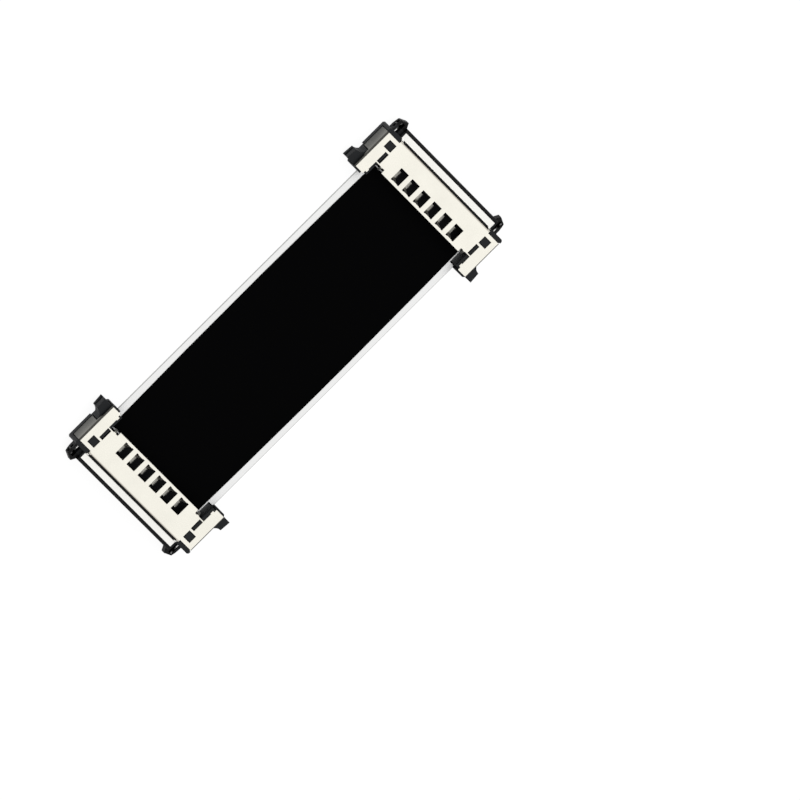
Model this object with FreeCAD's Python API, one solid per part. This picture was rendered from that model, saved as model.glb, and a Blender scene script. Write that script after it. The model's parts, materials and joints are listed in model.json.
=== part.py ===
import FreeCAD, Part
import math
import os

from FreeCAD import Vector

# Flat flex jumper cable with a shielded, locking plug at each end.
# The cable lies flat along X with the shell covers of its plugs up, and stands on Z = 0.
# Inside a plug, S is the distance back from the front of its tongue, and Y is measured from the
# middle of the cable. Plug b faces +X. Plug a is the same plug turned half a turn about Z.

# Overall sizes
TONGUE_TO_TONGUE = 84.5      # between the fronts of the two tongues
PLUG_HEIGHT = 4.1            # rail bottoms to shell top

# Contacts and conductors
CONTACT_COUNT = 51
PITCH = 0.5
CONTACT_WIDTH = 0.32
CONTACT_THICK = 0.15
CONTACT_S = 0.45             # front end of a contact
CONTACT_STEP_S = 3.0         # where it steps up towards the ribbon
CONTACT_STEP_RUN = 0.4
CONTACT_TAIL_S = 6.2         # rear end of its solder tail
CONDUCTOR_WIDTH = 0.3
CONDUCTOR_THICK = 0.05

# Ribbon, from the bottom up
FILM_Z = 1.6                 # underside of the base film
FILM_BASE_THICK = 0.12
FILM_COVER_THICK = 0.18
TAPE_THICK = 0.1
FILM_MARGIN = 1.55           # clear film beside the end of the tape
FILM_NECK_GAP = 0.35         # ribbon to rail, where the ribbon enters a plug
NECK_S = 11.4
NECK_RADIUS = 0.5
TAPE_INSET = 0.3             # end of the tape to the edge of the necked film
TAPE_SWELL = 0.35            # how much wider the tape is at the middle, on each side
TAPE_S = 8.8
RIBBON_S = 5.5               # front end of the cover film and the conductors
FILM_BASE_S = 6.3            # the base film stops here and bares the conductors
STIFFENER_THICK = 0.15
STIFFENER_S = 8.6

# Housing
ROW_TO_RAIL = 0.44           # outermost contact to the inner face of a rail
RAIL_WIDTH = 3.0
BODY_REAR_S = 9.0
BODY_FRONT_S = 2.6
FLANGE_FRONT_S = 1.9
FLANGE_REAR_S = 3.2
RAIL_REAR_S = 11.75
RAIL_CUT_S = 11.1            # the rail's inner upper corner is cut back for the film
RAIL_FILM_GAP = 0.3
RAIL_CHAMFER = 0.3
LEDGE_OUT = 0.1              # ledge under a side flange, beyond its outer face
TONGUE_MARGIN = 0.59         # outermost contact to the side of the tongue
TONGUE_Z = 1.15              # underside of the tongue
TONGUE_TOP = 3.25            # top of its metal cover
TONGUE_CHAMFER = 0.25
LIP_LENGTH = 0.7
END_RIB = 0.35               # ribs beside the row of contacts
END_RIB_DROP = 0.2
CHAMBER_REAR_S = 5.4
CHAMBER_MARGIN = 0.3         # beyond the outermost contact
PANEL_DEPTH = 0.25           # recessed panel of the underside
PANEL_S = 5.85
PANEL_NOTCH = 0.5
PLATE_GAP = 0.03             # ground plate to the housing ahead of it

# Guide posts
POST_INSET = 0.1             # inner face, inside the line of the rail
POST_WIDTH = 2.2
POST_LOW = 0.65
POST_HIGH = 2.4
POST_TIP = 0.95              # beyond the front of the tongue
POST_TIP_SHIFT = 0.55        # from the inner face out to the tip
POST_NOSE_S = 0.35           # start of the rounded outer side
POST_CHAMFER = 0.2

# Sheet metal
SHEET = 0.2
FOLD_RADIUS = 0.35
COVER_WING_S = 2.84          # front edge beside the tongue
COVER_JOGGLE_S = 1.9
COVER_JOGGLE_RUN = 0.5
COVER_BRIDGE = 0.6           # metal left at each end of the slit along the joggle
COVER_INSET = 0.25           # side of the tongue to its metal cover
COVER_REAR_S = 9.0
WING_REAR_S = 11.35
WING_SETBACK = 0.46          # inner edge of a wing, outside the line of the rail
WING_NOTCH_S = 10.75         # the inner rear corner of a wing is notched from here
WING_NOTCH_SETBACK = 0.85
SIDE_FLANGE_S = 7.55
SIDE_FLANGE_Z = 0.95
SIDE_STRIP_S = 8.8
SIDE_STRIP_Z = 3.5
BOSS_S = 4.45
BOSS_SETBACK = 0.8
BOSS_HOLE_S = 1.67
BOSS_HOLE_Y = 1.89
BOSS_GAP = 0.2
BOSS_DROP = 0.05             # top of a boss below the top of the cover
SLOT_FRONT_S = 5.7
SLOT_REAR_S = 10.1
SLOT_WEB_S = 8.0             # front of the web across a slot
SLOT_SETBACK = 0.2
SLOT_WIDTH = 0.9
SLOT_RIB = 0.45
COVER_NOTCH_Y = 2.05         # from the middle of the slot inwards
COVER_TAB_Y = 1.25           # middle of the small tab, from the middle of the slot
COVER_TAB_WIDTH = 0.5
COVER_TAB_LENGTH = 0.75
COVER_TAB_DROP = 0.45
WINDOW_COUNT = 6
WINDOW_PITCH = 3.2
WINDOW_FRONT_S = 5.7
WINDOW_REAR_S = 8.5
WINDOW_WIDTH = 2.15
FINGER_WIDTH = 1.2
FINGER_RUN = 0.7             # length of the sloping part
FINGER_TIP_S = 6.3
PLATE_FRONT_S = 5.98
PLATE_REAR_S = 8.95
PLATE_NOTCH_S = 1.05
PLATE_NOTCH_Y = 1.25
PLATE_WINDOW_FRONT_S = 6.4
PLATE_WINDOW_REAR_S = 8.26
PLATE_WINDOW_WIDTH = 2.03
PLATE_FINGER_WIDTH = 1.0
PLATE_FINGER_RUN = 0.55
PLATE_FINGER_TIP_S = 6.75
FINGER_SLOT_GAP = 0.15

# Latches
LATCH_TRAVEL = 0.4           # how far a button goes in
LATCH_GAP = 0.1
LEAF_THICK = 0.22
LEAF_INSET = 1.6             # from the side of the housing
LEAF_LOW = 0.9
LEAF_HIGH = 2.25
LEAF_FRONT_S = -0.1
CLAW_S = 0.65                # middle of the claw
CLAW_HALF = 0.45
CLAW_OUT = 0.65
CLAW_LOW = 1.45
CLAW_HIGH = 2.0
LEAF_JOG_S = 7.6             # the leaf turns out to the button here
LEAF_JOG_RUN = 1.1
LEAF_TAIL_INSET = 0.5
LEAF_TAIL_S = 11.0
LEAF_SLOT_FRONT_S = 3.4      # stretch where the slot shows on the underside
LEAF_SLOT_REAR_S = 8.2
BUTTON_DEPTH = 1.0           # inside the side of the housing
BUTTON_OUT = 1.8             # beyond the side flange
BUTTON_LOW = 0.9
BUTTON_FRONT_S = 7.75
BUTTON_RAMP_S = 9.2
BUTTON_REAR_S = 11.4
BUTTON_TAPER = 0.2
BUTTON_GRIP_DEPTH = 0.3
BUTTON_GRIP_LOW = 1.5
BUTTON_GRIP_HIGH = 2.3
POCKET_GAP = 0.15

# Small cores in the rail bottoms
CORE_LENGTH = 0.9
CORE_WIDTH = 0.4
CORE_DEPTH = 0.3
CORE_SETBACK = 0.65
CORE_STATIONS = (5.2, 8.2, 10.2)

# Levels and places that follow from the sizes above
COVER_UNDER = PLUG_HEIGHT - SHEET
ROW_HALF = (CONTACT_COUNT - 1) * PITCH / 2 + CONTACT_WIDTH / 2
BODY_HALF = ROW_HALF + ROW_TO_RAIL
HOUSING_SIDE = BODY_HALF + RAIL_WIDTH
PLUG_HALF = HOUSING_SIDE + SHEET
LEDGE_HALF = PLUG_HALF + LEDGE_OUT
FILM_NECK_HALF = BODY_HALF - FILM_NECK_GAP
TAPE_HALF = FILM_NECK_HALF - TAPE_INSET
FILM_HALF = TAPE_HALF + FILM_MARGIN
RAIL_CUT_HALF = FILM_HALF + RAIL_FILM_GAP
TONGUE_HALF = ROW_HALF + TONGUE_MARGIN
COVER_HALF = TONGUE_HALF - COVER_INSET
POST_INNER = BODY_HALF - POST_INSET
POST_OUTER = POST_INNER + POST_WIDTH
POST_TIP_Y = POST_INNER + POST_TIP_SHIFT
WING_INNER = BODY_HALF + WING_SETBACK
WING_NOTCH_Y = BODY_HALF + WING_NOTCH_SETBACK
BOSS_Y = BODY_HALF + BOSS_SETBACK
SLOT_Y = BODY_HALF + SLOT_SETBACK
COVER_NOTCH_FRONT_S = SLOT_WEB_S + SHEET
CORE_Y = BODY_HALF + CORE_SETBACK
LEAF_Y = HOUSING_SIDE - LEAF_INSET
LEAF_TAIL_Y = HOUSING_SIDE - LEAF_TAIL_INSET
BUTTON_INNER = HOUSING_SIDE - BUTTON_DEPTH
HALF_LENGTH = TONGUE_TO_TONGUE / 2
CONDUCTOR_Z = FILM_Z + FILM_BASE_THICK
FILM_TOP = CONDUCTOR_Z + FILM_COVER_THICK
STIFFENER_TOP = FILM_TOP + STIFFENER_THICK
TAIL_Z = CONDUCTOR_Z - CONTACT_THICK
CONTACT_TOP = TONGUE_Z + CONTACT_THICK
PLATE_TOP = PANEL_DEPTH + SHEET
SLOT_OUT = LEAF_Y + LEAF_THICK / 2 + LATCH_GAP
SLOT_IN = LEAF_Y - LEAF_THICK / 2 - LATCH_TRAVEL - LATCH_GAP
POCKET_INNER = BUTTON_INNER - LATCH_TRAVEL - LATCH_GAP
BUTTON_OUTER = PLUG_HALF + BUTTON_OUT
BUTTON_HIGH = SIDE_STRIP_Z - LATCH_GAP


def block(s0, s1, y0, y1, z0, z1):
    """A box from S, Y and Z limits, with S running back from the front of the tongue."""
    low_y, high_y = min(y0, y1), max(y0, y1)
    return Part.makeBox(s1 - s0, high_y - low_y, z1 - z0, Vector(-s1, low_y, z0))


def prism(points, direction):
    """A flat outline, closed, swept along a straight line."""
    return Part.Face(Part.makePolygon(points + points[:1])).extrude(direction)


def side_profile(outline, half_width, middle=0.0):
    """An outline in S and Z, swept across the plug."""
    points = [Vector(-s, middle - half_width, z) for s, z in outline]
    return prism(points, Vector(0, 2 * half_width, 0))


def plan_profile(outline, z0, z1):
    """An outline in S and Y, swept upwards."""
    return prism([Vector(-s, y, z0) for s, y in outline], Vector(0, 0, z1 - z0))


def band(path, thickness):
    """The outline of a strip of even thickness whose middle line is the path."""
    def normal(start, end):
        run, rise = end[0] - start[0], end[1] - start[1]
        length = math.hypot(run, rise)
        return -rise / length, run / length

    normals = [normal(a, b) for a, b in zip(path, path[1:])]
    left, right = [], []
    for index, (u, v) in enumerate(path):
        before = normals[max(index - 1, 0)]
        after = normals[min(index, len(normals) - 1)]
        nu, nv = before[0] + after[0], before[1] + after[1]
        reach = thickness / (nu * nu + nv * nv)
        left.append((u + nu * reach, v + nv * reach))
        right.append((u - nu * reach, v - nv * reach))
    return left + right[::-1]


def both_sides(make):
    """The shapes that make(side) gives for the two sides of the plug."""
    return [make(side) for side in (1, -1)]


def fuse_all(shapes):
    """One shape from several that touch or overlap."""
    return shapes[0].multiFuse(shapes[1:]).removeSplitter()


def contact_rows():
    """The Y of each contact, and of each conductor."""
    return [(index - (CONTACT_COUNT - 1) / 2) * PITCH for index in range(CONTACT_COUNT)]


def window_rows():
    """The Y of the middle of each window."""
    return [(index - (WINDOW_COUNT - 1) / 2) * WINDOW_PITCH for index in range(WINDOW_COUNT)]


def contacts():
    """Flat contacts that step up from the tongue to the solder tails below the ribbon."""
    low = TONGUE_Z + CONTACT_THICK / 2
    high = TAIL_Z + CONTACT_THICK / 2
    path = [
        (CONTACT_S, low),
        (CONTACT_STEP_S, low),
        (CONTACT_STEP_S + CONTACT_STEP_RUN, high),
        (CONTACT_TAIL_S, high),
    ]
    one = side_profile(band(path, CONTACT_THICK), CONTACT_WIDTH / 2)
    return Part.makeCompound([one.translated(Vector(0, y, 0)) for y in contact_rows()])


def tongue():
    """The tongue with its lip, before the contact grooves are cut."""
    cover_under = TONGUE_TOP - SHEET
    outline = [
        (0, TONGUE_Z + TONGUE_CHAMFER),
        (0, TONGUE_TOP - TONGUE_CHAMFER),
        (TONGUE_CHAMFER, TONGUE_TOP),
        (LIP_LENGTH, TONGUE_TOP),
        (LIP_LENGTH, cover_under),
        (BODY_FRONT_S, cover_under),
        (BODY_FRONT_S, TONGUE_Z),
        (TONGUE_CHAMFER, TONGUE_Z),
    ]
    ribs = both_sides(lambda side: block(
        CONTACT_S, BODY_FRONT_S, side * (TONGUE_HALF - END_RIB), side * TONGUE_HALF,
        TONGUE_Z - END_RIB_DROP, TONGUE_Z))
    return [side_profile(outline, TONGUE_HALF)] + ribs


def guide_post(side):
    """A post with a beak whose outer side is rounded towards the tip."""
    tip = Vector(POST_TIP, side * POST_TIP_Y, POST_LOW)
    nose = Vector(-POST_NOSE_S, side * POST_OUTER, POST_LOW)
    swell = Vector(POST_NOSE_S, side * (POST_OUTER - POST_NOSE_S / 2), POST_LOW)
    inner_front = Vector(0, side * POST_INNER, POST_LOW)
    inner_rear = Vector(-FLANGE_REAR_S, side * POST_INNER, POST_LOW)
    outer_rear = Vector(-FLANGE_REAR_S, side * POST_OUTER, POST_LOW)
    edges = [
        Part.makeLine(inner_rear, inner_front),
        Part.makeLine(inner_front, tip),
        Part.makeLine(tip, swell),
        Part.makeLine(swell, nose),
        Part.makeLine(nose, outer_rear),
        Part.makeLine(outer_rear, inner_rear),
    ]
    post = Part.Face(Part.Wire(edges)).extrude(Vector(0, 0, POST_HIGH - POST_LOW))
    level = [edge for edge in post.Edges
             if abs(edge.BoundBox.ZLength) < POST_CHAMFER / 100
             and edge.CenterOfMass.x > -POST_NOSE_S / 2]
    return post.makeChamfer(POST_CHAMFER, level)


def rail(side):
    """A rail with a ledge for the side flange, cut back above its foot to clear the film."""
    ledge_front = COVER_WING_S - SHEET
    outline = [
        (FLANGE_FRONT_S, BODY_HALF),
        (FLANGE_FRONT_S, LEDGE_HALF - RAIL_CHAMFER),
        (FLANGE_FRONT_S + RAIL_CHAMFER, LEDGE_HALF),
        (ledge_front, LEDGE_HALF),
        (ledge_front, HOUSING_SIDE),
        (RAIL_REAR_S - RAIL_CHAMFER, HOUSING_SIDE),
        (RAIL_REAR_S, HOUSING_SIDE - RAIL_CHAMFER),
        (RAIL_REAR_S, BODY_HALF),
    ]
    whole = plan_profile([(s, side * y) for s, y in outline], 0, COVER_UNDER)
    ledge = block(ledge_front, SIDE_FLANGE_S, side * HOUSING_SIDE, side * LEDGE_HALF,
                  0, SIDE_FLANGE_Z)
    return whole.fuse(ledge).cut(block(
        RAIL_CUT_S, RAIL_REAR_S + SHEET, side * BODY_HALF, side * RAIL_CUT_HALF,
        FILM_Z - LATCH_GAP, COVER_UNDER))


def leaf_path(side):
    """The middle line of a lock spring in plan, from its claw back to its tail."""
    path = [
        (LEAF_FRONT_S, LEAF_Y),
        (CLAW_S - CLAW_HALF, LEAF_Y),
        (CLAW_S, LEAF_Y + CLAW_OUT),
        (CLAW_S + CLAW_HALF, LEAF_Y),
        (LEAF_JOG_S, LEAF_Y),
        (LEAF_JOG_S + LEAF_JOG_RUN, LEAF_TAIL_Y),
        (LEAF_TAIL_S, LEAF_TAIL_Y),
    ]
    return [(s, side * y) for s, y in path]


def lock_spring(side):
    """A metal leaf on edge, with a narrow claw in the guide post and its tail in the button."""
    leaf = plan_profile(band(leaf_path(side), LEAF_THICK), LEAF_LOW, LEAF_HIGH)
    trims = [
        block(LEAF_FRONT_S, CLAW_S + CLAW_HALF + LEAF_THICK, side * (LEAF_Y + LEAF_THICK / 2),
              side * (POST_OUTER + SHEET), low, high)
        for low, high in ((LEAF_LOW, CLAW_LOW), (CLAW_HIGH, LEAF_HIGH))
    ]
    return leaf.cut(trims)


def release_button(side):
    """A moulded button: a hollow ramp, then a level hump with a grip bar, on the spring's tail."""
    run = BUTTON_RAMP_S - BUTTON_FRONT_S
    rise = BUTTON_OUTER - BUTTON_TAPER - PLUG_HALF
    sag_s = BUTTON_FRONT_S + run * math.sqrt(0.5)
    sag_y = PLUG_HALF + rise * (1 - math.sqrt(0.5))
    ramp_start = Vector(-BUTTON_FRONT_S, side * PLUG_HALF, BUTTON_LOW)
    ramp_sag = Vector(-sag_s, side * sag_y, BUTTON_LOW)
    ramp_end = Vector(-BUTTON_RAMP_S, side * (PLUG_HALF + rise), BUTTON_LOW)
    hump_end = Vector(-BUTTON_REAR_S, side * BUTTON_OUTER, BUTTON_LOW)
    inner_rear = Vector(-BUTTON_REAR_S, side * BUTTON_INNER, BUTTON_LOW)
    inner_front = Vector(-BUTTON_FRONT_S, side * BUTTON_INNER, BUTTON_LOW)
    edges = [
        Part.Arc(ramp_start, ramp_sag, ramp_end).toShape(),
        Part.makeLine(ramp_end, hump_end),
        Part.makeLine(hump_end, inner_rear),
        Part.makeLine(inner_rear, inner_front),
        Part.makeLine(inner_front, ramp_start),
    ]
    button = Part.Face(Part.Wire(edges)).extrude(Vector(0, 0, BUTTON_HIGH - BUTTON_LOW))
    grip = block(
        BUTTON_RAMP_S + BUTTON_TAPER, BUTTON_REAR_S + SHEET,
        side * (BUTTON_OUTER - BUTTON_GRIP_DEPTH), side * (BUTTON_OUTER + SHEET),
        BUTTON_GRIP_LOW, BUTTON_GRIP_HIGH)
    return button.cut(grip).cut(lock_spring(side))


def latch_room(side):
    """What is cut from the housing so that a latch can move in and out."""
    tunnel_low, tunnel_high = LEAF_LOW - LATCH_GAP, LEAF_HIGH + LATCH_GAP
    claw_front = CLAW_S - CLAW_HALF - LATCH_GAP - LEAF_THICK
    claw_rear = CLAW_S + CLAW_HALF + LATCH_GAP + LEAF_THICK
    tunnel = block(LEAF_FRONT_S - LATCH_GAP, LEAF_JOG_S + LEAF_JOG_RUN,
                   side * SLOT_IN, side * SLOT_OUT, tunnel_low, tunnel_high)
    post_top = block(LEAF_FRONT_S - LATCH_GAP, FLANGE_FRONT_S,
                     side * SLOT_IN, side * SLOT_OUT, tunnel_low, POST_HIGH + SHEET)
    claw = block(claw_front, claw_rear, side * SLOT_IN, side * (POST_OUTER + SHEET),
                 CLAW_LOW - LATCH_GAP, CLAW_HIGH + LATCH_GAP)
    jog = plan_profile(
        [(LEAF_JOG_S - LEAF_THICK, side * SLOT_IN),
         (LEAF_JOG_S - LEAF_THICK, side * SLOT_OUT),
         (BUTTON_FRONT_S - POCKET_GAP, side * (SLOT_OUT + CLAW_OUT)),
         (BUTTON_FRONT_S, side * SLOT_IN)],
        tunnel_low, tunnel_high)
    underside = block(LEAF_SLOT_FRONT_S, LEAF_SLOT_REAR_S,
                      side * (SLOT_IN + LATCH_TRAVEL / 2), side * SLOT_OUT, -SHEET, tunnel_high)
    pocket = block(BUTTON_FRONT_S - POCKET_GAP, BUTTON_REAR_S + POCKET_GAP,
                   side * POCKET_INNER, side * (PLUG_HALF + SHEET),
                   BUTTON_LOW - LATCH_GAP, BUTTON_HIGH + LATCH_GAP)
    return [tunnel, post_top, claw, jog, underside, pocket]


def rail_cores(side):
    """Shallow cores in the bottom of a rail, and one under the guide post."""
    cores = [
        block(s - CORE_LENGTH / 2, s + CORE_LENGTH / 2, side * (CORE_Y - CORE_WIDTH / 2),
              side * (CORE_Y + CORE_WIDTH / 2), -CORE_DEPTH, CORE_DEPTH)
        for s in CORE_STATIONS
    ]
    post_middle = (POST_INNER + SLOT_IN) / 2
    cores.append(block(
        CORE_LENGTH / 2, CORE_LENGTH * 3 / 2, side * (post_middle - CORE_WIDTH / 2),
        side * (post_middle + CORE_WIDTH / 2), POST_LOW - CORE_DEPTH, POST_LOW + CORE_DEPTH))
    return cores


def boss_and_rib(side):
    """The square boss in the cover's hole, and the rib in its slot."""
    top = PLUG_HEIGHT - BOSS_DROP
    half_s, half_y = BOSS_HOLE_S / 2 - BOSS_GAP, BOSS_HOLE_Y / 2 - BOSS_GAP
    boss = block(BOSS_S - half_s, BOSS_S + half_s, side * (BOSS_Y - half_y),
                 side * (BOSS_Y + half_y), COVER_UNDER, top)
    rib_y = BODY_HALF + SLOT_RIB / 2
    rib = block(SLOT_FRONT_S + BOSS_GAP, SLOT_WEB_S - BOSS_GAP, side * (rib_y - SLOT_RIB / 2),
                side * (rib_y + SLOT_RIB / 2), COVER_UNDER, top)
    return boss.fuse(rib)


def housing():
    """The moulding that carries the contacts, the ribbon's end, the covers and the latches."""
    body = block(BODY_FRONT_S, CHAMBER_REAR_S, -BODY_HALF, BODY_HALF, 0, COVER_UNDER)
    flange = block(FLANGE_FRONT_S, BODY_FRONT_S, -BODY_HALF, BODY_HALF, 0, TONGUE_Z)
    shelf = block(CHAMBER_REAR_S, BODY_REAR_S, -BODY_HALF, BODY_HALF, 0, FILM_Z)
    whole = [body, flange, shelf] + tongue()
    whole += both_sides(guide_post) + both_sides(rail) + both_sides(boss_and_rib)

    cuts = []
    chamber_half = ROW_HALF + CHAMBER_MARGIN
    cuts.append(block(BODY_FRONT_S, CONTACT_STEP_S + CONTACT_STEP_RUN + CONTACT_THICK,
                      -chamber_half, chamber_half, TONGUE_Z, CONDUCTOR_Z))
    cuts.append(block(CONTACT_STEP_S, FILM_BASE_S, -chamber_half, chamber_half,
                      TAIL_Z, CONDUCTOR_Z))
    for y in contact_rows():
        cuts.append(block(CONTACT_S, BODY_FRONT_S, y - CONTACT_WIDTH / 2, y + CONTACT_WIDTH / 2,
                          TONGUE_Z, CONTACT_TOP))
    cuts.append(block(FLANGE_REAR_S, PANEL_S, -BODY_HALF, BODY_HALF, -SHEET, PANEL_DEPTH))
    cuts.append(block(PANEL_S, BODY_REAR_S + SHEET, -BODY_HALF, BODY_HALF, -SHEET, PLATE_TOP))
    for y in window_rows():
        half = PLATE_FINGER_WIDTH / 2 + FINGER_SLOT_GAP
        cuts.append(block(PLATE_FINGER_TIP_S - FINGER_SLOT_GAP, PLATE_WINDOW_REAR_S,
                          y - half, y + half, -SHEET, FILM_Z + SHEET))
    for side in (1, -1):
        cuts.append(block(
            FLANGE_REAR_S - PANEL_NOTCH, FLANGE_REAR_S,
            side * (BODY_HALF - PANEL_NOTCH), side * BODY_HALF, -SHEET, PANEL_DEPTH))
        cuts += latch_room(side) + rail_cores(side)
    return fuse_all(whole).cut(cuts).removeSplitter()


def cover_finger(y):
    """A spring finger that drops from the rear of a window onto the stiffener."""
    plate = PLUG_HEIGHT - SHEET / 2
    tip = STIFFENER_TOP + SHEET / 2
    path = [
        (WINDOW_REAR_S + SHEET, plate),
        (WINDOW_REAR_S, plate),
        (WINDOW_REAR_S - FINGER_RUN, tip),
        (FINGER_TIP_S, tip),
    ]
    return side_profile(band(path, SHEET), FINGER_WIDTH / 2, y)


def cover_tab(side):
    """A small tab that bends down in the notch beside a slot."""
    plate = PLUG_HEIGHT - SHEET / 2
    path = [
        (COVER_NOTCH_FRONT_S - SHEET, plate),
        (COVER_NOTCH_FRONT_S, plate),
        (COVER_NOTCH_FRONT_S + COVER_TAB_LENGTH, plate - COVER_TAB_DROP),
    ]
    return side_profile(band(path, SHEET), COVER_TAB_WIDTH / 2, side * (SLOT_Y - COVER_TAB_Y))


def shell_cover():
    """One folded stamping: plate, side flanges, stepped tongue cover, windows and fingers."""
    outer = Part.makeBox(
        WING_REAR_S - COVER_JOGGLE_S, 2 * PLUG_HALF, PLUG_HEIGHT - SIDE_FLANGE_Z,
        Vector(-WING_REAR_S, -PLUG_HALF, SIDE_FLANGE_Z))
    folds = [edge for edge in outer.Edges
             if edge.BoundBox.XLength > SHEET and edge.CenterOfMass.z > PLUG_HEIGHT - SHEET]
    channel = outer.makeFillet(FOLD_RADIUS, folds)
    hollow = block(0, WING_REAR_S + SHEET, -HOUSING_SIDE, HOUSING_SIDE, 0, COVER_UNDER)
    channel = channel.cut(hollow)

    cuts = [
        block(0, COVER_JOGGLE_S + COVER_JOGGLE_RUN + SHEET, -COVER_HALF, COVER_HALF,
              0, PLUG_HEIGHT + SHEET),
        block(COVER_REAR_S, WING_REAR_S + SHEET, -WING_INNER, WING_INNER, 0, PLUG_HEIGHT + SHEET),
    ]
    for side in (1, -1):
        cuts += [
            block(0, COVER_WING_S, side * COVER_HALF, side * (PLUG_HALF + SHEET),
                  0, PLUG_HEIGHT + SHEET),
            block(SIDE_FLANGE_S, WING_REAR_S + SHEET, side * (HOUSING_SIDE - SHEET),
                  side * (PLUG_HALF + SHEET), 0, SIDE_STRIP_Z),
            block(SIDE_STRIP_S, WING_REAR_S + SHEET, side * (HOUSING_SIDE - SHEET),
                  side * (PLUG_HALF + SHEET), 0, COVER_UNDER),
            block(BOSS_S - BOSS_HOLE_S / 2, BOSS_S + BOSS_HOLE_S / 2,
                  side * (BOSS_Y - BOSS_HOLE_Y / 2), side * (BOSS_Y + BOSS_HOLE_Y / 2),
                  0, PLUG_HEIGHT + SHEET),
            block(SLOT_FRONT_S, SLOT_WEB_S, side * (SLOT_Y - SLOT_WIDTH / 2),
                  side * (SLOT_Y + SLOT_WIDTH / 2), 0, PLUG_HEIGHT + SHEET),
            block(COVER_NOTCH_FRONT_S, SLOT_REAR_S, side * (SLOT_Y - SLOT_WIDTH / 2),
                  side * (SLOT_Y + SLOT_WIDTH / 2), 0, PLUG_HEIGHT + SHEET),
            block(COVER_NOTCH_FRONT_S, COVER_REAR_S,
                  side * (SLOT_Y - COVER_NOTCH_Y), side * SLOT_Y, 0, PLUG_HEIGHT + SHEET),
            block(WING_NOTCH_S, WING_REAR_S + SHEET, side * WING_INNER, side * WING_NOTCH_Y,
                  0, PLUG_HEIGHT + SHEET),
        ]
    for y in window_rows():
        cuts.append(block(WINDOW_FRONT_S, WINDOW_REAR_S, y - WINDOW_WIDTH / 2,
                          y + WINDOW_WIDTH / 2, COVER_UNDER - SHEET, PLUG_HEIGHT + SHEET))

    low = TONGUE_TOP - SHEET / 2
    high = PLUG_HEIGHT - SHEET / 2
    joggle = side_profile(band([
        (LIP_LENGTH, low),
        (COVER_JOGGLE_S, low),
        (COVER_JOGGLE_S + COVER_JOGGLE_RUN, high),
        (COVER_JOGGLE_S + COVER_JOGGLE_RUN + 2 * SHEET, high),
    ], SHEET), COVER_HALF)
    slit = block(COVER_JOGGLE_S, COVER_JOGGLE_S + COVER_JOGGLE_RUN,
                 COVER_BRIDGE - COVER_HALF, COVER_HALF - COVER_BRIDGE, 0, PLUG_HEIGHT + SHEET)
    bent = [cover_finger(y) for y in window_rows()] + both_sides(cover_tab)
    return fuse_all([channel.cut(cuts), joggle.cut(slit)] + bent)


def plate_finger(y):
    """A finger that rises from the rear of a window to the base film."""
    plate = PANEL_DEPTH + SHEET / 2
    tip = FILM_Z - SHEET / 2
    path = [
        (PLATE_WINDOW_REAR_S + SHEET, plate),
        (PLATE_WINDOW_REAR_S - SHEET, plate),
        (PLATE_WINDOW_REAR_S - SHEET - PLATE_FINGER_RUN, tip),
        (PLATE_FINGER_TIP_S, tip),
    ]
    return side_profile(band(path, SHEET), PLATE_FINGER_WIDTH / 2, y)


def ground_plate():
    """The small stamping under the shelf, with windows and fingers like the cover's."""
    plate = block(PLATE_FRONT_S, PLATE_REAR_S, -BODY_HALF + PLATE_GAP, BODY_HALF - PLATE_GAP,
                  PANEL_DEPTH, PLATE_TOP)
    cuts = []
    for side in (1, -1):
        cuts.append(block(PLATE_REAR_S - PLATE_NOTCH_S, PLATE_REAR_S,
                          side * (BODY_HALF - PLATE_NOTCH_Y), side * BODY_HALF, 0, PLATE_TOP))
    for y in window_rows():
        cuts.append(block(PLATE_WINDOW_FRONT_S, PLATE_WINDOW_REAR_S, y - PLATE_WINDOW_WIDTH / 2,
                          y + PLATE_WINDOW_WIDTH / 2, 0, PLATE_TOP))
    return fuse_all([plate.cut(cuts)] + [plate_finger(y) for y in window_rows()])


def stiffener():
    """The backing strip on the end of the ribbon."""
    return block(RIBBON_S, STIFFENER_S, -FILM_NECK_HALF, FILM_NECK_HALF, FILM_TOP, STIFFENER_TOP)


def film(end_s, z0, z1):
    """A film as long as the ribbon, necked where it enters each plug."""
    end = HALF_LENGTH - end_s
    neck = HALF_LENGTH - NECK_S
    wide = Part.makeBox(2 * neck, 2 * FILM_HALF, z1 - z0, Vector(-neck, -FILM_HALF, z0))
    corners = [edge for edge in wide.Edges if edge.BoundBox.ZLength > (z1 - z0) / 2]
    wide = wide.makeFillet(NECK_RADIUS, corners)
    narrow = Part.makeBox(2 * end, 2 * FILM_NECK_HALF, z1 - z0, Vector(-end, -FILM_NECK_HALF, z0))
    return wide.fuse(narrow).removeSplitter()


def conductor_strips():
    """Flat conductors between the two films, bared over the contact tails."""
    length = 2 * (HALF_LENGTH - RIBBON_S)
    return [
        Part.makeBox(length, CONDUCTOR_WIDTH, CONDUCTOR_THICK,
                     Vector(-length / 2, y - CONDUCTOR_WIDTH / 2, CONDUCTOR_Z))
        for y in contact_rows()
    ]


def black_tape():
    """The tape on top of the ribbon, between the stiffeners, a little wider at the middle."""
    half = HALF_LENGTH - TAPE_S
    corners = [Vector(x, y, FILM_TOP) for x, y in (
        (-half, -TAPE_HALF), (half, -TAPE_HALF), (half, TAPE_HALF), (-half, TAPE_HALF))]
    swollen = TAPE_HALF + TAPE_SWELL
    edges = [
        Part.Arc(corners[0], Vector(0, -swollen, FILM_TOP), corners[1]).toShape(),
        Part.makeLine(corners[1], corners[2]),
        Part.Arc(corners[2], Vector(0, swollen, FILM_TOP), corners[3]).toShape(),
        Part.makeLine(corners[3], corners[0]),
    ]
    return Part.Face(Part.Wire(edges)).extrude(Vector(0, 0, TAPE_THICK))


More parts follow.
